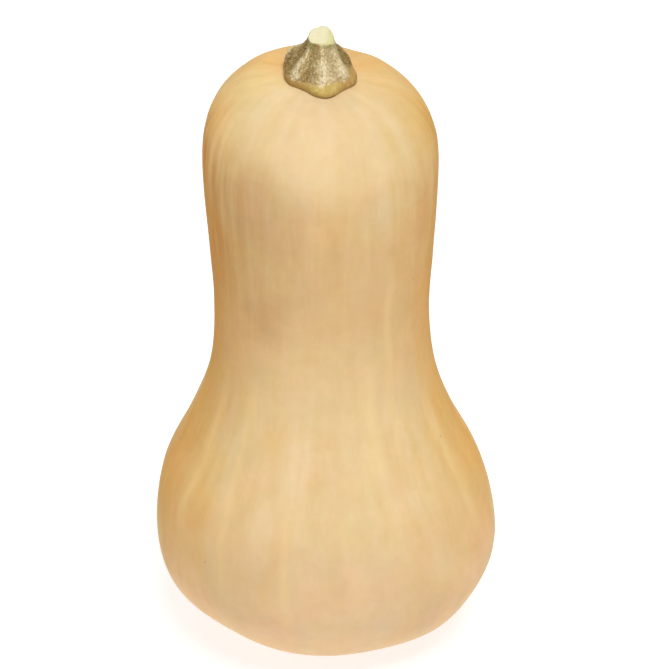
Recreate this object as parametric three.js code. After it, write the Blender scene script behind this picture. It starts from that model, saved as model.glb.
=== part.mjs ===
// Butternut squash standing on its blossom end, with its dried stem.
// Millimetres, +Z up, -Y the front, +X to the right. The origin is the middle of the
// bounding box, on the surface that the squash stands on.
import * as THREE from "three";
import { mergeVertices } from "three/addons/utils/BufferGeometryUtils.js";

// Driving dimensions of the fruit
const footRadius = 22;        // outer edge of the flat ring that it stands on
const bulbRadius = 66.7;
const bulbHeight = 39.5;      // height of the widest ring of the bulb
const waistRadius = 41;
const waistHeight = 140.5;
const neckRadius = 44.3;
const neckHeight = 196.5;
const crownHeight = 238.5;    // the flat seat of the stem, before it leans
const seatRadius = 18;
const crownLeanRight = -0.049; // rise of the crown for each mm to the right
const crownLeanBack = 0.068;   // and for each mm to the back

// Driving dimensions of the stem
const stemHeight = 16.6;      // middle of the cut, above the seat
const stemFootRadius = 12;    // the foot between two of its lobes
const stemCutRadius = 4.9;
const stemGap = 0.3;          // clearance under the stem
const cutRiseRight = 0.16;    // slope of the slanting cut
const cutRiseBack = 0.27;
const cutTaper = 0.05;        // share by which the cut narrows for each mm to the back

const fruitSegments = 60;
const fruitRingsPerSpan = 3;
const stemSegments = 60;

// Underside: [radius, height] of the blossom scar in its dimple, from the axis out
const blossomEnd = [[0, 1.7], [4.2, 1.9], [5.6, 2.7], [9, 2.0], [12.5, 0]];

// Outline: [radius, height, sway to the right, sway to the back] of each ring
const outline = [
  [footRadius, 0, 2.6, 0],
  [34.2, 3.9, 2.3, 0],
  [46.2, 9.6, 1.9, 0],
  [57.7, 20.1, 1.2, 0],
  [bulbRadius, bulbHeight, -0.3, 0],
  [63.1, 66.5, -1.8, 0.4],
  [51.8, 90.5, -2.2, 0.6],
  [43.4, 114.5, -2.1, 0.6],
  [waistRadius, waistHeight, -2.4, 0.4],
  [42.5, 168.5, -2.4, -0.2],
  [neckRadius, neckHeight, -2.8, -1.0],
  [43.5, 214.5, -2.5, -1.6],
  [37.9, 227.5, -2.5, -2.0],
  [28, crownHeight - 2.2, -2.5, -2.2],
  [seatRadius, crownHeight, -2.5, -2.2],
];

// Lobes round the blossom end, faint ribs up the sides and one fuller flank
const lobes = { count: 5, turn: -0.32, size: 0.019, reach: 34 };
const ribs = { count: 10, turn: 0.12, size: 0.0035, height: 60, reach: 55 };
const flank = { turn: -1.2, width: 0.4, size: 0.052, height: 20, reach: 14 };

// Lobes of the stem: [way the foot's lobe points, its radius, way of the ridge above it,
// share and width of the ridge], with the ways in degrees from the front to the right
const stemLobes = [
  [5, 16.8, 5, 1.0, 22],
  [68, 13.9, 48, 0.75, 20],
  [150, 16.0, 145, 1.1, 23],
  [235, 15.2, 240, 1.35, 27],
  [299, 14.1, 310, 0.85, 22],
];
const footSpread = 1.2;       // how much wider a lobe is at the foot

// Stem: [height, radius on a ridge, radius in a groove, share of the foot's outline]
const stemRings = [
  [0, 13.6, 11.4, 0.9],
  [1.2, 13.6, 11.3, 1],
  [2.6, 13.5, 10.8, 0.9],
  [4, 13.2, 10.0, 0.45],
  [5.6, 12.7, 9.1, 0.1],
  [7.2, 11.6, 8.2, 0],
  [8.6, 10.2, 7.4, 0],
  [10, 8.3, 6.7, 0],
  [11.4, 6.9, 6.0, 0],
  [13, 5.9, 5.4, 0],
  [15, 5.2, 4.9, 0],
  [stemHeight, stemCutRadius, stemCutRadius - 0.4, 0],
];

const bell = (x, width) => Math.exp(-((x / width) ** 2));

function smoothStep(low, high, x) {
  const t = THREE.MathUtils.clamp((x - low) / (high - low), 0, 1);
  return t * t * (3 - 2 * t);
}

// Turns a lathe on the Z axis, moves each vertex by shape(angle, radius, height, ring)
// and closes the seam and the poles. The angle runs from the front to the right.
function turnedSolid(profile, segments, shape) {
  const points = profile.map(([radius, height]) => new THREE.Vector2(radius, height));
  const geometry = new THREE.LatheGeometry(points, segments);
  geometry.deleteAttribute("normal");
  geometry.deleteAttribute("uv");
  const position = geometry.getAttribute("position");
  for (let i = 0; i < position.count; i += 1) {
    const ring = i % points.length;
    const side = Math.floor(i / points.length) % segments;
    const angle = (side / segments) * 2 * Math.PI;
    const { x: radius, y: height } = points[ring];
    position.setXYZ(i, ...shape(angle, radius, height, ring));
  }
  const merged = mergeVertices(geometry, 1e-4);
  const corners = merged.getIndex().array;
  const kept = [];
  for (let i = 0; i < corners.length; i += 3) {
    const [a, b, c] = corners.slice(i, i + 3);
    if (a !== b && b !== c && c !== a) kept.push(a, b, c);
  }
  merged.setIndex(kept);
  merged.computeVertexNormals();
  return merged;
}

// The short way round from one direction to another
function turnBetween(angle, other) {
  return Math.atan2(Math.sin(angle - other), Math.cos(angle - other));
}

// The crown and the stem on it lean together, as one sheared plane
function crownRise(right, back) {
  return crownLeanRight * right + crownLeanBack * back;
}

function makeFruit() {
  const spans = (outline.length - 1) * fruitRingsPerSpan;
  const sides = new THREE.SplineCurve(outline.map(([r, z]) => new THREE.Vector2(r, z)));
  const sways = new THREE.SplineCurve(outline.map(([, , x, y]) => new THREE.Vector2(x, y)));
  const skin = sides.getPoints(spans).map((point) => [point.x, point.y]);
  const sway = sways.getPoints(spans);
  const profile = [...blossomEnd, ...skin, [0, crownHeight]];

  return turnedSolid(profile, fruitSegments, (angle, radius, height, ring) => {
    const skinRing = THREE.MathUtils.clamp(ring - blossomEnd.length, 0, spans);
    const lobed = lobes.size * bell(height, lobes.reach)
      * Math.cos(lobes.count * (angle - lobes.turn));
    const ribbed = ribs.size * bell(height - ribs.height, ribs.reach)
      * Math.cos(ribs.count * (angle - ribs.turn));
    const full = flank.size * bell(turnBetween(angle, flank.turn), flank.width)
      * bell(height - flank.height, flank.reach);
    const reach = radius * (1 + lobed + ribbed + full);
    const right = reach * Math.sin(angle);
    const back = -reach * Math.cos(angle);
    const leaning = smoothStep(waistHeight + 8, crownHeight - 12, height);
    return [
      sway[skinRing].x + right,
      sway[skinRing].y + back,
      height + leaning * crownRise(right, back),
    ];
  });
}

// 1 at a direction, falling to 0 on both sides of it, with both in degrees
function nearness(angle, direction, width) {
  const turn = turnBetween(angle, THREE.MathUtils.degToRad(direction));
  return bell(turn, THREE.MathUtils.degToRad(width));
}

// Reach of the stem at an angle: a ridge over each lobe, and the lobed outline of the foot
function stemReach(angle, ridge, groove, footShare) {
  let body = groove;
  let foot = stemFootRadius;
  for (const [footTurn, lobeRadius, ridgeTurn, share, width] of stemLobes) {
    body += (ridge - groove) * share * nearness(angle, ridgeTurn, width);
    foot += (lobeRadius - stemFootRadius) * nearness(angle, footTurn, width * footSpread);
  }
  return body * (1 - footShare) + foot * footShare;
}

function makeStem() {
  const profile = [[0, 0], ...stemRings.map(([height, ridge]) => [ridge, height]), [0, stemHeight]];
  const [, , crownX, crownY] = outline[outline.length - 1];

  return turnedSolid(profile, stemSegments, (angle, radius, height, ring) => {
    const [, ridge, groove, footShare] = stemRings[ring - 1] ?? [0, 0, 0, 0];
    const reach = radius > 0 ? stemReach(angle, ridge, groove, footShare) : 0;
    const slanting = smoothStep(11.5, stemHeight - 0.5, height);
    const back = -reach * Math.cos(angle);
    const right = reach * Math.sin(angle) * (1 - cutTaper * slanting * back);
    const cutRise = slanting * (cutRiseRight * right + cutRiseBack * back);
    return [
      crownX + right,
      crownY + back,
      crownHeight + stemGap + height + cutRise + crownRise(right, back),
    ];
  });
}

const fruit = new THREE.Mesh(
  makeFruit(),
  new THREE.MeshStandardMaterial({ color: 0xe8c48d, roughness: 0.5, metalness: 0 }),
);
fruit.name = "fruit";

const stem = new THREE.Mesh(
  makeStem(),
  new THREE.MeshStandardMaterial({ color: 0x94805a, roughness: 0.85, metalness: 0 }),
);
stem.name = "stem";

const group = new THREE.Group();
group.add(fruit, stem);

const middle = new THREE.Box3().setFromObject(group).getCenter(new THREE.Vector3());
group.position.set(-middle.x, -middle.y, 0);

export default group;
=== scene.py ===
import math

import bpy
import numpy as np
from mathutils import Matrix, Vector, noise


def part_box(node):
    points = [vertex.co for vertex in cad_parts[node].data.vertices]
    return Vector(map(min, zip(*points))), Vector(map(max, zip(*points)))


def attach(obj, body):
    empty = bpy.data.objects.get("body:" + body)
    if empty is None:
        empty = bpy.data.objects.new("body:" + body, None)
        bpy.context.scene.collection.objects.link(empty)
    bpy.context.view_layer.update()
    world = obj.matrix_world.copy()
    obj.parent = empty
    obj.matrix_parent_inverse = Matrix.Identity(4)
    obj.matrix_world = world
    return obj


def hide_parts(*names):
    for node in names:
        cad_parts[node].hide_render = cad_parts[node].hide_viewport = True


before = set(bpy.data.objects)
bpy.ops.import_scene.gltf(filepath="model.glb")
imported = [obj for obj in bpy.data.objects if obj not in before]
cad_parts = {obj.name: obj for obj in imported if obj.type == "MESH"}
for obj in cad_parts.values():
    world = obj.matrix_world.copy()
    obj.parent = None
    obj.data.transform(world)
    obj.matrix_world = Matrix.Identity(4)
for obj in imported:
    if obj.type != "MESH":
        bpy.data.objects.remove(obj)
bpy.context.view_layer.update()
print("frame loaded")

mm = 0.001
seedStep = (17.3, 5.1, 9.7)                  # how far apart two seeds read the noise


def selectNothing():
    if bpy.context.object and bpy.context.object.mode != "OBJECT":
        bpy.ops.object.mode_set(mode="OBJECT")
    bpy.ops.object.select_all(action="DESELECT")


def selectOnly(piece):
    selectNothing()
    piece.select_set(True)
    bpy.context.view_layer.objects.active = piece


def smoothStep(low, high, x):
    t = np.clip((x - low) / (high - low), 0, 1)
    return t * t * (3 - 2 * t)


def stepAt(base, ends, x):                   # the same, between two heights over a base
    return smoothStep(base + ends[0], base + ends[1], x)


def bell(x, width):
    return np.exp(-(x / width) ** 2)


def turnBetween(angle, other):               # the short way round, in radians
    return np.angle(np.exp(1j * (angle - other)))


def bellRound(angle, way, width):            # 1 at a way, falling on both sides, in degrees
    return bell(turnBetween(angle, math.radians(way)), math.radians(width))


def polar(points):                           # radius, angle from the front to the right, height
    right, back, height = points.T
    return np.hypot(right, back), np.arctan2(right, -back), height


def curveThrough(points, steps):             # Catmull-Rom through rows of numbers
    rows = np.array(points, float)
    last = len(rows) - 1
    path = []
    for i in range(last):
        before, here = rows[max(i - 1, 0)], rows[i]
        there, after = rows[i + 1], rows[min(i + 2, last)]
        leave, arrive = (there - before) / 2, (after - here) / 2
        for step in range(steps):
            t = step / steps
            path.append(
                (2 * here - 2 * there + leave + arrive) * t ** 3
                + (3 * there - 3 * here - 2 * leave - arrive) * t ** 2
                + leave * t + here)
    path.append(rows[last])
    return np.array(path)


def turnedBody(name, rings, sides):          # a circle, extruded ring by ring, its ends closed
    selectNothing()
    bpy.ops.mesh.primitive_circle_add(
        vertices=sides, radius=rings[0][0] * mm, fill_type="NOTHING",
        location=(0, 0, rings[0][1] * mm))
    piece = bpy.context.object
    piece.name = name
    bpy.ops.object.transform_apply(location=True, rotation=True, scale=True)
    bpy.ops.object.mode_set(mode="EDIT")
    bpy.ops.mesh.select_all(action="SELECT")
    bpy.ops.mesh.edge_face_add()
    bpy.ops.mesh.poke()
    bpy.ops.mesh.select_all(action="DESELECT")
    bpy.ops.object.mode_set(mode="OBJECT")
    rim = rings[0][0] * mm / 2
    for vertex in piece.data.vertices:
        vertex.select = vertex.co.xy.length > rim
    bpy.ops.object.mode_set(mode="EDIT")
    bpy.ops.mesh.select_mode(type="VERT")
    bpy.ops.mesh.select_mode(type="EDGE")
    bpy.ops.mesh.region_to_loop()
    for (radius, height), (nextRadius, nextHeight) in zip(rings, rings[1:]):
        bpy.ops.mesh.extrude_edges_move(
            TRANSFORM_OT_translate={"value": (0, 0, (nextHeight - height) * mm)})
        bpy.ops.transform.resize(
            value=(nextRadius / radius, nextRadius / radius, 1),
            center_override=(0, 0, nextHeight * mm))
    bpy.ops.mesh.edge_face_add()
    bpy.ops.mesh.poke()
    bpy.ops.mesh.select_all(action="SELECT")
    bpy.ops.mesh.normals_make_consistent(inside=False)
    bpy.ops.object.mode_set(mode="OBJECT")
    return piece


def subdivide(piece, levels):
    selectOnly(piece)
    finer = piece.modifiers.new("finer", "SUBSURF")
    finer.levels = levels
    finer.render_levels = levels
    bpy.ops.object.modifier_apply(modifier=finer.name)


def readPoints(piece):                       # in millimetres
    flat = np.empty(len(piece.data.vertices) * 3)
    piece.data.vertices.foreach_get("co", flat)
    return flat.reshape(-1, 3) / mm


def writePoints(piece, points):
    piece.data.vertices.foreach_set("co", (points * mm).ravel())
    piece.data.update()


def unevenness(points, grain):               # about -1 to 1
    size, upwards, seed = grain              # with upwards below 1 it is drawn out in height
    offset = Vector([seed * step for step in seedStep])
    return np.array([noise.noise(Vector(p) + offset) for p in points * [1, 1, upwards] / size])


def shadeSmooth(piece):
    selectOnly(piece)
    bpy.ops.object.shade_smooth()


def keepValues(piece, name, values):         # a number at each point, for the material
    layer = piece.data.attributes.new(name, "FLOAT", "POINT")
    layer.data.foreach_set("value", np.asarray(values, dtype=np.float32))


def keepVectors(piece, name, vectors):
    layer = piece.data.attributes.new(name, "FLOAT_VECTOR", "POINT")
    layer.data.foreach_set("vector", np.asarray(vectors, dtype=np.float32).ravel())


squash = {
    "sides": 72,
    "stepsPerSpan": 4,
    "fineSteps": 12,                         # steps a span where the outline is looked up
    "levels": 2,
    "crownHeight": 238.5,
    "crownLean": (-0.049, 0.068),            # rise for each mm to the right and to the back
    "leaning": (148.5, 226.5),               # heights between which the lean sets in
    # [radius, height, sway to the right, sway to the back]
    "outline": [
        [22, 0, 2.6, 0],
        [34.2, 3.9, 2.3, 0],
        [46.2, 9.6, 1.9, 0],
        [57.7, 20.1, 1.2, 0],
        [66.7, 39.5, -0.3, 0],
        [63.1, 66.5, -1.8, 0.4],
        [51.8, 90.5, -2.2, 0.6],
        [43.4, 114.5, -2.1, 0.6],
        [41, 140.5, -2.4, 0.4],
        [42.5, 168.5, -2.4, -0.2],
        [44.3, 196.5, -2.8, -1.0],
        [43.5, 214.5, -2.5, -1.6],
        [37.9, 227.5, -2.5, -2.0],
        [28, 236.3, -2.5, -2.2],
        [18, 238.5, -2.5, -2.2],
    ],
    # [radius, height] of the blossom scar, from the middle out to the flat ring
    "scar": [[0.9, 1.7], [2.2, 1.6], [3.6, 1.9], [4.6, 2.0], [5.6, 2.7], [7.2, 2.7],
             [9, 1.9], [11, 0.7], [12.5, 0.0], [15, 0.0], [18.5, 0.0]],
    "crownCap": [[13, 238.5], [8, 238.5], [3, 238.5]],
    "lobes": {"count": 5, "turn": -0.32, "size": 0.019, "reach": 34},
    "ribs": {"count": 10, "turn": 0.12, "size": 0.0035, "height": 60, "reach": 55},
    "flank": {"turn": -1.2, "width": 0.4, "size": 0.052, "height": 20, "reach": 14},
    "courseUnit": 100,                       # mm along the skin for each 1 of its course
    "sideFrom": (3, 30),                     # heights between which the unevenness sets in
    "sideTo": (215, 236),                    # and ends
    # each depth is in mm, and each grain is [size, upwards, seed]
    "lumps": {"depth": 0.3, "inset": 0.2, "grain": [34, 1, 1]},  # inset: the whole side steps in
    "ripples": {"depth": 0.07, "grain": [0.09, 1.1, 2]},  # they run lengthwise
    # folds round the stem's foot: they set in between these heights and the inner radii, and are
    # deepest at the middle radius
    "folds": {"depth": 0.2, "sunk": 0.4, "grain": [0.13, 0.4, 3],
              "from": (222, 236), "inner": (12, 16), "middle": 15, "reach": 10},
    # wide furrows round those, between the inner and the outer radii
    "furrows": {"depth": 0.9, "sunk": 0.35, "grain": [0.34, 0.1, 9],
                "from": (205, 225), "inner": (13, 19), "outer": (24, 42)},
    # brown crust of the scar: the radii between which it ends, and the height above which there
    # is none
    "crust": {"edge": (5.2, 8.4), "wander": 1.6, "grain": [3.5, 1, 10], "top": 5},
}


def courseOf(angle, along, unit):            # a place on the skin: its meridian, and how far along
    return np.column_stack([np.sin(angle), -np.cos(angle), along / unit])


def placeOnFruit(points, settings):          # lobes, ribs, sway and lean of a straight body
    radius, angle, height = polar(points)
    lobes, ribs, flank = settings["lobes"], settings["ribs"], settings["flank"]
    lobed = (lobes["size"] * bell(height, lobes["reach"])
             * np.cos(lobes["count"] * (angle - lobes["turn"])))
    ribbed = (ribs["size"] * bell(height - ribs["height"], ribs["reach"])
              * np.cos(ribs["count"] * (angle - ribs["turn"])))
    full = (flank["size"] * bell(turnBetween(angle, flank["turn"]), flank["width"])
            * bell(height - flank["height"], flank["reach"]))
    reach = radius * (1 + lobed + ribbed + full)
    right, back = reach * np.sin(angle), -reach * np.cos(angle)
    path = curveThrough(settings["outline"], settings["fineSteps"])
    sway = [np.interp(height, path[:, 1], path[:, side]) for side in (2, 3)]
    leanRight, leanBack = settings["crownLean"]
    leaning = smoothStep(*settings["leaning"], height)
    rise = leaning * (leanRight * right + leanBack * back)
    return np.column_stack([right + sway[0], back + sway[1], height + rise])


def makeFruit(settings):
    sides = curveThrough(settings["outline"], settings["stepsPerSpan"])
    rings = settings["scar"] + [list(row[:2]) for row in sides] + settings["crownCap"]
    piece = turnedBody("squashFruit", rings, settings["sides"])
    subdivide(piece, settings["levels"])
    points = readPoints(piece)
    radius, angle, height = polar(points)
    outward = points * [1, 1, 0] / np.maximum(radius, 0.01)[:, None]
    along = height - radius                  # runs on evenly over the crown and under the belly
    course = courseOf(angle, along, settings["courseUnit"])
    keepVectors(piece, "course", course)
    crust = settings["crust"]
    ragged = radius + crust["wander"] * unevenness(points, crust["grain"])
    onScar = (1 - smoothStep(*crust["edge"], ragged)) * (height < crust["top"])
    keepValues(piece, "scar", onScar)

    lumps, ripples = settings["lumps"], settings["ripples"]
    side = (smoothStep(*settings["sideFrom"], height)
            * (1 - smoothStep(*settings["sideTo"], height)))
    swell = unevenness(points, lumps["grain"]) * lumps["depth"] * side
    swell += unevenness(course, ripples["grain"]) * ripples["depth"] * side
    swell -= lumps["depth"] * lumps["inset"] * side
    moved = points + outward * swell[:, None]

    folds, furrows = settings["folds"], settings["furrows"]
    near = (smoothStep(*folds["from"], height) * smoothStep(*folds["inner"], radius)
            * bell(radius - folds["middle"], folds["reach"]))
    moved[:, 2] += folds["depth"] * near * (unevenness(course, folds["grain"]) - folds["sunk"])
    far = (smoothStep(*furrows["inner"], radius) * (1 - smoothStep(*furrows["outer"], radius))
           * smoothStep(*furrows["from"], height))
    depth = unevenness(course, furrows["grain"]) - furrows["sunk"]
    moved[:, 2] += furrows["depth"] * far * depth

    writePoints(piece, placeOnFruit(moved, settings))
    shadeSmooth(piece)
    return piece


fruit = makeFruit(squash)
fruitMiddle = sum(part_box("fruit"), Vector()) / 2


def middleOf(points):
    return (points.min(axis=0) + points.max(axis=0)) / 2


peduncle = {
    "sides": 96,
    "stepsPerSpan": 3,
    "fineSteps": 12,
    "levels": 2,
    "courseUnit": 10,                        # mm up for each 1 of its course
    "height": 16.6,                          # middle of the cut, above the crown
    # the cut: its rise to the right and to the back, the heights between which that sets in, the
    # share by which it narrows for each mm to the back, where its face starts, counted from the
    # top, the radii between which the face ends, and its unevenness
    "cut": {"slope": (0.16, 0.27), "from": (11.5, 16.1), "taper": 0.05,
            "faceFrom": (-0.3, -0.15), "faceTo": (4.2, 4.6),
            "ragged": 0.25, "raggedFrom": (-1, 0), "grain": [1.6, 1, 8]},
    "footGroove": 12.0,                      # radius of the foot between two lobes
    # [way the foot's lobe points, its radius, way of the ridge above it, share, width], the
    # ways in degrees from the front to the right
    "lobes": [
        [5, 16.8, 5, 1.0, 22],
        [68, 13.9, 48, 0.75, 20],
        [150, 16.0, 145, 1.1, 23],
        [235, 15.2, 240, 1.35, 27],
        [299, 14.1, 310, 0.85, 22],
    ],
    "footSpread": 1.2,                       # how much wider a lobe is at the foot
    # [height, radius on a ridge, radius in a groove, share of the foot's outline]
    "rings": [
        [0, 13.6, 11.4, 0.9],
        [1.2, 13.6, 11.3, 1],
        [2.6, 13.5, 10.8, 0.9],
        [4, 13.2, 10.0, 0.45],
        [5.6, 12.7, 9.1, 0.1],
        [7.2, 11.6, 8.2, 0],
        [8.6, 10.2, 7.4, 0],
        [10, 8.3, 6.7, 0],
        [11.4, 6.9, 6.0, 0],
        [13, 5.9, 5.4, 0],
        [15, 5.2, 4.9, 0],
        [16.6, 4.9, 4.5, 0],
    ],
    "foot": [[6, 0.0], [12, 0.0]],           # [radius, height] of the underside
    "cap": [[4.78, -0.12], [4.6, 0.02], [4.2, 0.0], [3, -0.1], [1.5, -0.15]],  # [radius, rise]
    # the smooth rim over the foot: its top, how far that wanders, and where the cork sets in
    "rim": {"top": 2.5, "wander": 0.6, "grain": [5, 0, 4], "blend": (-0.9, 1.1),
            "lumps": 0.16, "crumbs": 0.1},
    "rimRises": [[8, 30, 1.6], [76, 24, 2.0]],  # [way, width, how much higher it is there]
    "gap": {"depth": 0.2, "above": 0.2, "reach": 0.6},  # the line between rim and cork
    # the cork: its top, which is lower on the right, and the shares of its relief
    "cork": {"top": 16.3, "topRight": 13.6, "right": (85, 38), "fade": (-0.4, 0.5),
             "fray": 0.5, "depth": 0.3, "fibres": 1.8, "crumbs": 0.5, "sunk": 0.5},
    "fibreGrain": [0.75, 0.32, 5],
    "crumbGrain": [0.5, 1, 6],
    "lumpGrain": [2.6, 0.6, 7],
    "reliefFrom": (0, 0.8),                  # heights between which all this relief sets in
}


def makeStem(settings, crown):
    top, cut = settings["height"], settings["cut"]
    rows = curveThrough(settings["rings"], settings["stepsPerSpan"])
    rings = [[row[1], row[0]] for row in rows[:-1]]
    cap = [[radius, top + rise] for radius, rise in settings["cap"]]
    piece = turnedBody("squashStem", settings["foot"] + rings + cap, settings["sides"])
    subdivide(piece, settings["levels"])
    points = readPoints(piece)
    radius, angle, height = polar(points)
    onCut = stepAt(top, cut["faceFrom"], height) * (1 - smoothStep(*cut["faceTo"], radius))

    table = curveThrough(settings["rings"], settings["fineSteps"])
    ridge, groove, footShare = (np.interp(height, table[:, 0], table[:, k]) for k in (1, 2, 3))
    body, crest = np.zeros(len(points)), np.zeros(len(points))
    footLine = np.full(len(points), float(settings["footGroove"]))
    for footWay, footRadius, ridgeWay, share, width in settings["lobes"]:
        nearness = bellRound(angle, ridgeWay, width)
        body += share * nearness
        crest = np.maximum(crest, nearness ** 3)
        footNearness = bellRound(angle, footWay, width * settings["footSpread"])
        footLine += (footRadius - settings["footGroove"]) * footNearness
    reach = (groove + (ridge - groove) * body) * (1 - footShare) + footLine * footShare
    scaled = radius * reach / ridge

    rim, gap, cork = settings["rim"], settings["gap"], settings["cork"]
    wavy = unevenness(points, rim["grain"])
    rimTop = rim["top"] + rim["wander"] * wavy
    for way, width, rise in settings["rimRises"]:
        rimTop += rise * bellRound(angle, way, width)
    corkTop = cork["top"] + (cork["topRight"] - cork["top"]) * bellRound(angle, *cork["right"])
    corky = stepAt(rimTop, rim["blend"], height)
    corky *= 1 - stepAt(corkTop, cork["fade"], height + wavy * cork["fray"])
    fibres = unevenness(points, settings["fibreGrain"])
    crumbs = unevenness(points, settings["crumbGrain"])
    lumps = unevenness(points, settings["lumpGrain"])
    relief = cork["depth"] * corky * (
        np.abs(fibres) * cork["fibres"] - cork["sunk"] + cork["crumbs"] * crumbs + lumps)
    relief -= gap["depth"] * bell(height - rimTop - gap["above"], gap["reach"])
    relief += (rim["lumps"] * lumps + rim["crumbs"] * crumbs) * (1 - corky)
    scaled += relief * (1 - onCut) * smoothStep(*settings["reliefFrom"], height)

    slanting = smoothStep(*cut["from"], height)
    back = -scaled * np.cos(angle)
    right = scaled * np.sin(angle) * (1 - cut["taper"] * slanting * back)
    ragged = unevenness(points, cut["grain"]) * stepAt(top, cut["raggedFrom"], height)
    slopeRight, slopeBack = cut["slope"]
    leanRight, leanBack = squash["crownLean"]
    up = squash["crownHeight"] + height + cut["ragged"] * ragged
    up = up + slanting * (slopeRight * right + slopeBack * back)
    up = up + leanRight * right + leanBack * back
    writePoints(piece, np.column_stack([right + crown[0], back + crown[1], up]))
    keepValues(piece, "cork", corky)
    keepValues(piece, "crest", crest)
    keepValues(piece, "cut", onCut)
    keepVectors(piece, "course", courseOf(angle, height, settings["courseUnit"]))
    shadeSmooth(piece)
    return piece


stem = makeStem(peduncle, squash["outline"][-1][2:])

# both pieces slide together, so that the fruit's middle is the frame's
shift = np.array(fruitMiddle) / mm - middleOf(readPoints(fruit))
shift[2] = 0
for piece in (fruit, stem):
    writePoints(piece, readPoints(piece) + shift)
print("fruit and stem shaped")


def tone(red, green, blue):                  # screen values to light
    screen = [value / 255 for value in (red, green, blue)]
    return [((c + 0.055) / 1.055) ** 2.4 if c > 0.04 else c / 12.92 for c in screen] + [1]


class Wire:                                  # a node's output, with arithmetic
    def __init__(self, paint, socket):
        self.paint = paint
        self.socket = socket

    def __add__(self, other):
        return self.paint.maths("ADD", self, other)

    def __sub__(self, other):
        return self.paint.maths("SUBTRACT", self, other)

    def __mul__(self, other):
        return self.paint.maths("MULTIPLY", self, other)

    def __rsub__(self, other):
        return self.paint.maths("SUBTRACT", other, self)

    __radd__ = __add__
    __rmul__ = __mul__


class Paint:                                 # one material and its nodes
    def __init__(self, name):
        self.material = bpy.data.materials.new(name)
        self.material.use_nodes = True
        self.tree = self.material.node_tree
        self.tree.nodes.clear()

    def node(self, kind, settings, inputs, output=0):
        made = self.tree.nodes.new(kind)
        for name, value in settings.items():
            setattr(made, name, value)
        for name, value in inputs.items():
            if isinstance(value, Wire):
                self.tree.links.new(value.socket, made.inputs[name])
            else:
                made.inputs[name].default_value = value
        return Wire(self, made.outputs[output]) if made.outputs else made

    def maths(self, operation, *values):
        return self.node("ShaderNodeMath", {"operation": operation}, dict(enumerate(values)))

    def vector(self, operation, *values, output=0):
        return self.node("ShaderNodeVectorMath", {"operation": operation},
                         dict(enumerate(values)), output)

    def spot(self):                          # the place on the object, in metres
        return self.node("ShaderNodeTexCoord", {}, {}, "Object")

    def part(self, vector, axis):            # one number out of three
        return self.node("ShaderNodeSeparateXYZ", {}, {"Vector": vector}, axis)

    def blend(self, amount, first, second):
        return self.node("ShaderNodeMix", {"data_type": "RGBA"},
                         {0: amount, 6: first, 7: second}, 2)

    def step(self, value, low, high):        # 0 below low, 1 above high, smooth between
        return self.node("ShaderNodeMapRange", {"interpolation_type": "SMOOTHSTEP"},
                         {"Value": value, "From Min": low, "From Max": high})

    def grain(self, where, scale, detail, roughness, output=0):
        return self.node("ShaderNodeTexNoise", {}, {
            "Vector": where, "Scale": scale, "Detail": detail, "Roughness": roughness}, output)

    def drawn(self, where, stretch, scale, detail, roughness):  # a grain, stretched
        return self.grain(self.vector("MULTIPLY", where, stretch), scale, detail, roughness)

    def stirred(self, where, grain, amount):  # a place, pushed about by a grain
        return self.vector("MULTIPLY_ADD", grain, amount, where)

    def stray(self, grain, spread):          # a grain, centred on 0 and scaled
        return (grain - 0.5) * spread

    def vary(self, colour, grain, strength):  # a grain of 0.5 leaves the colour as it is
        shade = self.vector("MULTIPLY_ADD", grain, strength, [1 - s / 2 for s in strength])
        return self.vector("MULTIPLY", colour, shade)

    def stored(self, name, output):
        return self.node("ShaderNodeAttribute", {"attribute_name": name}, {}, output)

    def raised(self, height, strength, depth):  # depth in metres
        return self.node("ShaderNodeBump", {}, {
            "Strength": strength, "Distance": depth, "Height": height})

    def finish(self, piece, constants, **links):
        shader = self.node("ShaderNodeBsdfPrincipled", {}, {**constants, **links})
        self.node("ShaderNodeOutputMaterial", {}, {"Surface": shader})
        piece.data.materials.clear()
        piece.data.materials.append(self.material)


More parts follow.
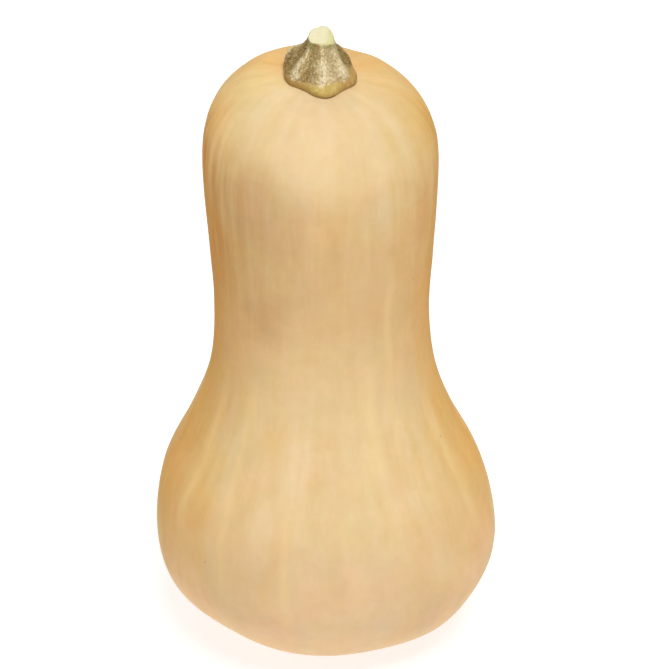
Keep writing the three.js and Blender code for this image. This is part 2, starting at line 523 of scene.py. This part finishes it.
skin = {
    "pale": tone(210, 182, 136),
    "waist": tone(204, 170, 121),
    "cheek": tone(205, 172, 130),            # front of the bulb, above the belly
    "deepAndShade": tone(187, 127, 51),              # left flank of the neck: deeper tan and painted shade
    "deepPaleAndShade": tone(197, 142, 65),          # the lighter streaks in it, also partly painted shade
    "warmAndShade": tone(203, 150, 74),              # right flank of the neck: deeper tan and painted shade
    "amberAndShade": tone(215, 165, 90),             # flanks of the bulb: deeper tan and painted shade
    "buff": tone(217, 173, 111),             # the back
    "crown": tone(211, 185, 141),
    "shoulderLeft": tone(224, 190, 122),
    "shoulderRight": tone(211, 173, 99),
    # the belly, and its sides most of all, are paler partly as painted light bounced up from the
    # floor
    "belly": tone(224, 189, 148),
    "bellySideBounceLit": tone(234, 201, 158),
    "bellyBack": tone(220, 180, 124),
    "line": tone(228, 198, 140),
    "speck": tone(160, 124, 84),
    # brown smudges, on the left of the neck partly painted shade
    "smudgeAndShade": tone(176, 136, 92),
    "scar": tone(134, 104, 70),
    "scarPale": tone(196, 168, 124),
    "paintedSheenSide": (0.08, -0.997, 0),           # the side painted paler, partly as painted sheen
    # how far it faces that side, 1 to -1: [low, high] of each change
    "flankEnds": (-0.02, 1.05),
    "backEnds": (-0.55, 0.1),
    "bellyBackEnds": (-0.7, 0.35),
    # height in mm: [low, high] of each change
    "neckFrom": (108, 168),
    "neckTo": (188, 224),
    "sideNeckFrom": (94, 172),
    "sideNeckTo": (182, 228),
    "crownFrom": (196, 230),
    "seatFrom": (222, 240),                  # the crown's colour round the stem, on the flanks
    "cheekFrom": (16, 34),
    "cheekTo": (50, 82),
    "bellyTo": (2, 62),
    # sideways, from -1 at the left to 1 at the right
    "rightFrom": (-0.7, 0.7),
    "farRightFrom": (0.4, 0.9),
    "crownLift": 14,                         # how much higher the crown starts on the flanks, mm
    "bellyLift": 12,                         # how much higher the belly ends there
    "bellyLiftRight": 8,                     # and at the far right
    # share of each colour that is laid over those before it
    "cheekShare": 0.8,
    "seatShare": 0.6,
    "buffShare": 0.85,
    "scarShare": 0.9,
    # [scale, detail, roughness] of the broad patches, and of what makes the streaks ragged
    "patch": [28, 2, 0.5],
    "ragged": [55, 2, 0.5],
    "raggedSway": 0.05,
    # how far patches and bands push each edge about
    "facingStray": (0.3, 0.4),
    "highStray": (18, 8),
    "lowStray": (24, 50),
    "bellyStray": (30, 30),
    "sideStray": 44,
    # [stretch, scale, detail, roughness] of what runs lengthwise, from the broadest down
    "rays": [(1, 1, 0.12), 5, 2, 0.5],
    "bands": [(1, 1, 0.3), 9, 2, 0.5],
    "streaks": [(1, 1, 0.34), 20, 2, 0.5],
    "threads": [(1, 1, 0.1), 75, 2, 0.6],
    # and how much each changes red, green and blue
    "rayChange": (0.10, 0.20, 0.44),
    "bandChange": (0.12, 0.18, 0.34),
    "streakChange": (0.04, 0.07, 0.12),
    "threadChange": (0.02, 0.03, 0.04),
    "crownCalm": 0.8,                        # share of the streaks that is lost at the stem
    "strandFrom": (0.34, 0.66),
    # [offset, scale, detail, roughness, change of red, green and blue] of each mottling
    "mottlings": {
        "broad": [(3, 1, 2), 34, 3, 0.5, (0.10, 0.16, 0.16)],
        "pink": [(7, 4, 9), 48, 5, 0.6, (0.14, -0.10, 0.0)],
        "cream": [(5, 9, 3), 70, 4, 0.6, (0.0, 0.05, 0.32)],
        "fine": [(2, 8, 5), 90, 4, 0.6, (0.14, 0.18, 0.22)],  # it is in the relief as well
        "grit": [(4, 6, 1), 240, 4, 0.65, (0.10, 0.13, 0.18)],
    },
    # [degrees from the front to the right, middle height, half length, width in degrees,
    # strength]
    "paleLines": [
        [-59, 88, 44, 5.5, 0.8],
        [-38, 84, 50, 4.5, 0.6],
        [64, 82, 38, 6.0, 0.6],
        [38, 140, 50, 4.0, 0.4],
        [-14, 56, 30, 3.2, 0.5],
        [99, 78, 50, 6.5, 0.6],
        [124, 104, 56, 4.6, 0.4],
        [163, 72, 40, 7.0, 0.6],
        [-94, 92, 56, 6.4, 0.5],
        [-127, 70, 34, 4.6, 0.5],
        [-158, 110, 60, 5.0, 0.4],
        [24, 114, 34, 8.0, 0.5],
    ],
    "lineSway": 0.12,                        # how far the lines wander sideways
    "lineWander": [22, 1, 0.5],
    "lineCore": 0.4,                         # share of the half length that is at full strength
    # [degrees from the front to the right, distance from the axis, height, radius, strength]
    "smudgesAndShade": [
        # the first three, on the left of the neck, are partly smudges and partly painted shade
        [-34, 44, 202, 27, 0.42],
        [-30, 42, 154, 17, 0.38],
        [-22, 44, 173, 30, 0.16],
        [38, 62, 38, 18, 0.15],
        [138, 50, 96, 30, 0.12],
        [196, 44, 188, 26, 0.12],
        [-112, 62, 60, 24, 0.18],
        [96, 44, 206, 20, 0.15],
    ],
    "smudgeSway": 0.024,                     # how far their edges wander, m
    "smudgeWander": [40, 3, 0.5],
    "smudgeCore": 0.2,                       # share of the radius that is at full strength
    "crust": [700, 3, 0.7],                  # paler crumbs on the scar
    "crustFrom": (0.42, 0.62),
    "speckScale": 90,
    "speckChance": (0.8, 0.82),              # a cell below this has no speck
    "speckEdge": (0.02, 0.07),
    "speckShare": 0.5,
    "roughness": 0.74,
    "roughnessRise": 0.12,
    "relief": [0.2, 0.0004],                 # strength, and depth in metres
    "reliefOfMottling": 0.6,
    "sockets": {"Specular IOR Level": 0.1, "Subsurface Weight": 0.06,
                "Subsurface Radius": (0.006, 0.003, 0.0015), "Subsurface Scale": 1.0},
}


def skinGrounds(paint, settings, height, course, patch, bands):  # the broad colours
    def pushed(value, stray):
        return value + paint.stray(patch, stray[0]) + paint.stray(bands, stray[1])

    facing = paint.vector("DOT_PRODUCT", course, settings["paintedSheenSide"], output="Value")
    frayed = pushed(facing, settings["facingStray"])
    across = paint.part(course, "X")
    # flank: where the skin turns away from the front painted paler; the tones laid there are
    # partly painted shade
    flank = 1 - paint.step(frayed, *settings["flankEnds"])
    back = 1 - paint.step(frayed, *settings["backEnds"])
    high = pushed(height - flank * settings["crownLift"], settings["highStray"])
    low = pushed(height, settings["lowStray"])
    neck = paint.step(low, *settings["neckFrom"]) * (1 - paint.step(high, *settings["neckTo"]))
    crown = paint.step(high, *settings["crownFrom"])
    cheek = (paint.step(height, *settings["cheekFrom"])
             * (1 - paint.step(height, *settings["cheekTo"])) * settings["cheekShare"])
    farRight = paint.step(across, *settings["farRightFrom"])
    lift = flank * settings["bellyLift"] + farRight * settings["bellyLiftRight"]
    lifted = pushed(height - lift, settings["bellyStray"])
    belly = 1 - paint.step(lifted, *settings["bellyTo"])

    colour = paint.blend(neck, settings["pale"], settings["waist"])
    colour = paint.blend(cheek, colour, settings["cheek"])
    colour = paint.blend(crown, colour, settings["crown"])

    # the left flank is darker than the right, partly painted shade, as the lamps come from the
    # right
    right = paint.step(across, *settings["rightFrom"])
    strand = paint.step(bands, *settings["strandFrom"])
    streaked = paint.blend(strand, settings["deepAndShade"], settings["deepPaleAndShade"])
    neckSide = paint.blend(right, streaked, settings["warmAndShade"])
    shoulder = paint.blend(right, settings["shoulderLeft"], settings["shoulderRight"])
    frays = paint.stray(bands, settings["sideStray"])
    sideNeck = (paint.step(low + frays, *settings["sideNeckFrom"])
                * (1 - paint.step(high + frays, *settings["sideNeckTo"])))
    side = paint.blend(sideNeck, settings["amberAndShade"], neckSide)
    side = paint.blend(crown, side, shoulder)
    seat = paint.step(height, *settings["seatFrom"]) * settings["seatShare"]
    side = paint.blend(seat, side, settings["crown"])
    side = paint.blend(back * settings["buffShare"], side, settings["buff"])
    colour = paint.blend(flank, colour, side)

    # the belly's sides are the palest, partly painted light from the floor
    under = paint.blend(flank, settings["belly"], settings["bellySideBounceLit"])
    bellyBack = 1 - paint.step(frayed, *settings["bellyBackEnds"])
    under = paint.blend(bellyBack, under, settings["bellyBack"])
    return paint.blend(belly, colour, under), crown


# brown smudges laid over the skin; those on the left of the neck are partly painted shade
def addSmudgesAndShade(paint, settings, colour, spot):
    push = paint.grain(spot, *settings["smudgeWander"], output="Color")
    sway = settings["smudgeSway"]
    stirred = paint.stirred(spot, push, (sway, sway, sway))
    for turn, out, middle, radius, strength in settings["smudgesAndShade"]:
        turn = math.radians(turn)
        place = (out * math.sin(turn), -out * math.cos(turn), middle)
        centre = [value * mm + sway / 2 for value in place]
        away = paint.vector("DISTANCE", stirred, centre, output="Value")
        core = radius * settings["smudgeCore"]
        smudgeAndShade = (1 - paint.step(away, core * mm, radius * mm)) * strength
        colour = paint.blend(smudgeAndShade, colour, settings["smudgeAndShade"])
    return colour


def addPaleLines(paint, settings, colour, spot, course, height, bands):
    sway = settings["lineSway"]
    wander = paint.grain(spot, *settings["lineWander"])
    stirred = paint.stirred(course, wander, (sway, sway, 0))
    level = paint.vector("MULTIPLY", stirred, (1, 1, 0))
    for turn, middle, reach, width, strength in settings["paleLines"]:
        turn, width = math.radians(turn), math.radians(width)
        meridian = (math.sin(turn) + sway / 2, -math.cos(turn) + sway / 2, 0)
        away = paint.vector("DISTANCE", level, meridian, output="Value")
        beyond = paint.maths("ABSOLUTE", height - middle)
        ends = 1 - paint.step(beyond, reach * settings["lineCore"], reach)
        line = (1 - paint.step(away, 0, width)) * ends
        colour = paint.blend(line * bands * strength, colour, settings["line"])
    return colour


def addSpecks(paint, settings, colour, spot):
    cells = {"Vector": spot, "Scale": settings["speckScale"]}
    away = paint.node("ShaderNodeTexVoronoi", {}, cells, "Distance")
    chance = paint.part(paint.node("ShaderNodeTexVoronoi", {}, cells, "Color"), "X")
    chosen = paint.step(chance, *settings["speckChance"])
    speck = (1 - paint.step(away, *settings["speckEdge"])) * chosen
    return paint.blend(speck * settings["speckShare"], colour, settings["speck"])


def addMottlings(paint, settings, colour, spot):
    mottlings = {}
    for name, (offset, scale, detail, roughness, change) in settings["mottlings"].items():
        place = paint.vector("ADD", spot, offset)
        mottlings[name] = paint.grain(place, scale, detail, roughness)
        colour = paint.vary(colour, mottlings[name], change)
    return colour, mottlings["fine"]


def paintSkin(piece, settings):
    paint = Paint("squashSkin")
    spot = paint.spot()
    course = paint.stored("course", "Vector")
    height = paint.part(spot, "Z") * (1 / mm)
    patch = paint.grain(spot, *settings["patch"])
    sway = settings["raggedSway"]
    ragged = paint.stirred(course, paint.grain(spot, *settings["ragged"]), (sway, sway, sway))
    rays, bands, streaks = (
        paint.drawn(ragged, *settings[name]) for name in ("rays", "bands", "streaks"))
    threads = paint.drawn(course, *settings["threads"])

    colour, crown = skinGrounds(paint, settings, height, course, patch, bands)
    colour = addSmudgesAndShade(paint, settings, colour, spot)
    colour, fine = addMottlings(paint, settings, colour, spot)
    calm = 1 - crown * settings["crownCalm"]
    changes = [(rays, crown, "rayChange"), (bands, calm, "bandChange"),
               (streaks, calm, "streakChange"), (threads, calm, "threadChange")]
    for grain, share, change in changes:
        colour = paint.vary(colour, paint.stray(grain, share) + 0.5, settings[change])
    colour = addPaleLines(paint, settings, colour, spot, course, height, bands)

    crust = paint.step(paint.grain(spot, *settings["crust"]), *settings["crustFrom"])
    corky = paint.blend(crust, settings["scar"], settings["scarPale"])
    scar = paint.stored("scar", "Fac") * settings["scarShare"]
    colour = paint.blend(scar, colour, corky)
    colour = addSpecks(paint, settings, colour, spot)

    rough = settings["roughness"] + settings["roughnessRise"] * fine
    relief = paint.raised(streaks + fine * settings["reliefOfMottling"], *settings["relief"])
    paint.finish(piece, settings["sockets"],
                 **{"Base Color": colour, "Roughness": rough, "Normal": relief})


paintSkin(fruit, skin)

bark = {
    # from groove to ridge the bark goes from dark to pale: partly its own colour, partly painted
    # shade and painted highlight
    "groove": tone(130, 102, 46),
    "plain": tone(160, 135, 80),
    "ridge": tone(213, 197, 162),
    "fleck": tone(236, 224, 192),
    "pit": tone(86, 60, 32),
    "olive": tone(130, 116, 58),
    "worn": tone(202, 184, 142),
    "wornSide": (0.5, -0.87, 0),             # the side that is rubbed paler
    "rim": tone(184, 158, 90),
    "rimBrown": tone(174, 140, 80),
    "seam": tone(146, 110, 60),              # darker where it meets the skin, partly painted shade
    "cut": tone(214, 206, 170),
    "cutGreen": tone(196, 192, 138),
    "green": tone(126, 120, 66),
    "rimFront": (0.09, -1, 0),               # the way that the yellower part of the rim faces
    # height above the crown in mm: [low, high] of each change
    "seamTo": (0.2, 1.5),
    "rimTo": (6, 10),                        # above this, what isn't cork is like the cut
    "crestTo": (7, 11),                      # and the ridges are less pale
    "crestFade": 0.35,
    "collarFrom": (12.5, 15),                # the greener top
    # [scale, detail, roughness] of patches and blotches, with a stretch first where they run up
    "patch": [180, 2, 0.5],
    "blotch": [520, 3, 0.65],
    "fibre": [(0.8, 0.8, 1), 13, 4, 0.8],
    "dash": [(1, 1, 0.7), 16, 3, 0.7],
    # how far they push each edge about
    "litStray": (1.1, 1.6),
    "wornStray": 0.8,
    "rimStray": 1.4,
    "corkStray": 1.6,
    "cutStray": 3,
    "collarTilt": 0.1,                       # how much greener the collar is at the back
    # [low, high] of each change of colour
    "plainFrom": (0.0, 0.5),
    "ridgeFrom": (0.4, 1.15),
    "oliveFrom": (0.5, 0.62),
    "wornFrom": (0.5, 1.0),
    "pitTo": (0.36, 0.5),
    "fleckFrom": (0.5, 0.6),
    "greenFrom": (0.35, 0.55),
    "brownTo": (0.5, 1.05),
    "corkFrom": (0.15, 0.9),
    "cutFrom": (-0.5, 2.5),                  # sideways in mm, where the cut turns greener
    # share of each colour that is laid over those before it
    "oliveShare": 0.5,
    "wornShare": 0.5,
    "ridgeShare": 0.85,
    "pitShare": 0.55,
    "fleckShare": 0.25,
    "fleckOnCrest": 0.4,                     # and so much more on the ridges
    "greenShare": 0.75,
    "seamShare": 0.5,
    # change of red, green and blue
    "rimBlotches": (0.7, 0.8, 0.9),
    "rimFibres": (0.6, 0.65, 0.7),
    "cutFibres": (0.1, 0.1, 0.14),
    "roughness": 0.72,
    "roughnessRise": 0.16,
    "relief": [0.5, 0.0003],
    "sockets": {"Specular IOR Level": 0.2},
}


def corkColour(paint, settings, course, rise, facing, crest, grains):
    patch, blotch, fibre = grains
    litPatch, litBlotch = settings["litStray"]
    # lit: the ridges painted paler, partly painted highlight; the grooves darker, partly painted
    # shade
    faded = crest * (1 - settings["crestFade"] * paint.step(rise, *settings["crestTo"]))
    lit = faded + paint.stray(patch, litPatch) + paint.stray(blotch, litBlotch)
    olive = paint.step(patch, *settings["oliveFrom"])
    rubbed = paint.vector("DOT_PRODUCT", course, settings["wornSide"], output="Value")
    worn = paint.step(rubbed + paint.stray(patch, settings["wornStray"]), *settings["wornFrom"])
    pit = 1 - paint.step(paint.drawn(course, *settings["dash"]), *settings["pitTo"])
    fleck = (paint.step(fibre, *settings["fleckFrom"])
             * (settings["fleckShare"] + settings["fleckOnCrest"] * crest))
    tilted = patch + (0.5 - facing) * settings["collarTilt"]
    collar = paint.step(rise, *settings["collarFrom"]) * paint.step(tilted, *settings["greenFrom"])

    plain = paint.step(lit, *settings["plainFrom"])
    ridge = paint.step(lit, *settings["ridgeFrom"])
    colour = paint.blend(plain, settings["groove"], settings["plain"])
    colour = paint.blend(olive * settings["oliveShare"], colour, settings["olive"])
    colour = paint.blend(worn * settings["wornShare"], colour, settings["worn"])
    colour = paint.blend(ridge * settings["ridgeShare"], colour, settings["ridge"])
    colour = paint.blend(pit * settings["pitShare"], colour, settings["pit"])
    colour = paint.blend(fleck, colour, settings["fleck"])
    return paint.blend(collar * settings["greenShare"], colour, settings["green"])


def bareColour(paint, settings, rise, facing, grains):  # where there is no cork
    patch, blotch, fibre = grains
    edge = facing + paint.stray(patch, settings["rimStray"])
    brown = 1 - paint.step(edge, *settings["brownTo"])
    colour = paint.blend(brown, settings["rim"], settings["rimBrown"])
    colour = paint.vary(colour, blotch, settings["rimBlotches"])
    colour = paint.vary(colour, fibre, settings["rimFibres"])
    return paint.blend(paint.step(rise, *settings["rimTo"]), colour, settings["cutGreen"])


def cutColour(paint, settings, spot, blotch, fibre):
    side = paint.part(spot, "X") * (1 / mm) + paint.stray(blotch, settings["cutStray"])
    greener = paint.step(side, *settings["cutFrom"])
    colour = paint.blend(greener, settings["cut"], settings["cutGreen"])
    return paint.vary(colour, fibre, settings["cutFibres"])


def paintStem(piece, settings):
    paint = Paint("squashStem")
    course = paint.stored("course", "Vector")
    spot = paint.spot()
    cork, crest, cut = (paint.stored(name, "Fac") for name in ("cork", "crest", "cut"))
    rise = paint.part(course, "Z") * peduncle["courseUnit"]
    facing = paint.vector("DOT_PRODUCT", course, settings["rimFront"], output="Value")
    patch = paint.grain(spot, *settings["patch"])
    blotch = paint.grain(spot, *settings["blotch"])
    fibre = paint.drawn(course, *settings["fibre"])
    grains = patch, blotch, fibre

    corky = corkColour(paint, settings, course, rise, facing, crest, grains)
    bare = bareColour(paint, settings, rise, facing, grains)
    stray = settings["corkStray"]
    frayed = cork + paint.stray(fibre, stray) + paint.stray(blotch, stray)
    colour = paint.blend(paint.step(frayed, *settings["corkFrom"]), bare, corky)
    # darker at the foot, partly painted contact shade
    seam = (1 - paint.step(rise, *settings["seamTo"])) * settings["seamShare"]
    colour = paint.blend(seam, colour, settings["seam"])
    colour = paint.blend(cut, colour, cutColour(paint, settings, spot, blotch, fibre))

    rough = settings["roughness"] + settings["roughnessRise"] * blotch
    relief = paint.raised(blotch + fibre * cork, *settings["relief"])
    paint.finish(piece, settings["sockets"],
                 **{"Base Color": colour, "Roughness": rough, "Normal": relief})


paintStem(stem, bark)
print("materials painted")

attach(fruit, "root")
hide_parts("fruit")
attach(stem, "root")
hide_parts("stem")

studio = {
    "floorSize": 8,
    "floor": tone(180, 180, 180),
    "glow": tone(216, 216, 216),             # light from the floor itself, for faint shadows
    "glowFar": tone(255, 255, 255),          # and away from the squash, where no lamp reaches
    "glowChange": (0.9, 3.0),                # distances between which it changes, m
    "domeRadius": 3.8,
    "air": 0.239,                            # even light from all sides
    "aim": (0.0030, 0, 0.1270),              # where the camera and the lamps look, m
    "distance": 1.5,
    "elevation": 30,
    "lens": 211.1,
    "sensor": 36,
    # [name, degrees from the front to the right, elevation, distance, size, watts]
    "lamps": [
        ["key", 20, 65, 3.0, 1.5, 82],
        ["fill", 20, 15, 2.5, 1.2, 6.7],
        ["left", -50, 30, 2.5, 1.2, 7],
        ["rear", 190, 40, 2.5, 1.5, 14],
    ],
}


def lookFrom(thing, turn, elevation, distance, target):
    turn, elevation = math.radians(turn), math.radians(elevation)
    level = math.cos(elevation)
    away = Vector((math.sin(turn) * level, -math.cos(turn) * level, math.sin(elevation)))
    thing.location = Vector(target) + away * distance
    thing.rotation_euler = away.to_track_quat("Z", "Y").to_euler()
    bpy.context.collection.objects.link(thing)


def makeFloor(settings):
    selectNothing()
    bpy.ops.mesh.primitive_plane_add(size=settings["floorSize"], location=(0, 0, 0))
    floor = bpy.context.object
    floor.name = "floor"
    paper = Paint("floorPaper")
    away = paper.vector("LENGTH", paper.spot(), output="Value")
    far = paper.step(away, *settings["glowChange"])
    glow = paper.blend(far, settings["glow"], settings["glowFar"])
    paper.finish(floor, {"Base Color": settings["floor"], "Roughness": 0.9,
                         "Specular IOR Level": 0.0, "Emission Strength": 1.0},
                 **{"Emission Color": glow})


def makeDome(settings):                      # a white backdrop that lights nothing
    selectNothing()
    bpy.ops.mesh.primitive_uv_sphere_add(
        segments=64, ring_count=32, radius=settings["domeRadius"], location=(0, 0, 0))
    dome = bpy.context.object
    dome.name = "dome"
    Paint("domePaper").finish(dome, {
        "Base Color": (0, 0, 0, 1), "Roughness": 1.0, "Specular IOR Level": 0.0,
        "Emission Color": (1, 1, 1, 1), "Emission Strength": 1.0})
    dome.visible_diffuse = False
    dome.visible_glossy = False
    dome.visible_transmission = False
    dome.visible_shadow = False


def makeLights(settings):
    world = bpy.data.worlds.new("air")
    world.use_nodes = True
    sky = world.node_tree.nodes["Background"]
    sky.inputs["Color"].default_value = (1, 1, 1, 1)
    sky.inputs["Strength"].default_value = settings["air"]
    bpy.context.scene.world = world

    for name, turn, elevation, distance, size, watts in settings["lamps"]:
        lamp = bpy.data.objects.new(name, bpy.data.lights.new(name, "AREA"))
        lamp.data.shape = "SQUARE"
        lamp.data.size = size
        lamp.data.energy = watts
        lamp.visible_camera = False
        lookFrom(lamp, turn, elevation, distance, settings["aim"])


def makeCamera(settings):
    camera = bpy.data.objects.new("camera", bpy.data.cameras.new("camera"))
    camera.data.lens = settings["lens"]
    camera.data.sensor_width = settings["sensor"]
    camera.data.sensor_fit = "HORIZONTAL"
    lookFrom(camera, 0, settings["elevation"], settings["distance"], settings["aim"])
    bpy.context.scene.camera = camera
    bpy.context.scene.view_settings.view_transform = "Standard"


makeFloor(studio)
makeDome(studio)
makeLights(studio)
makeCamera(studio)
print("studio set")
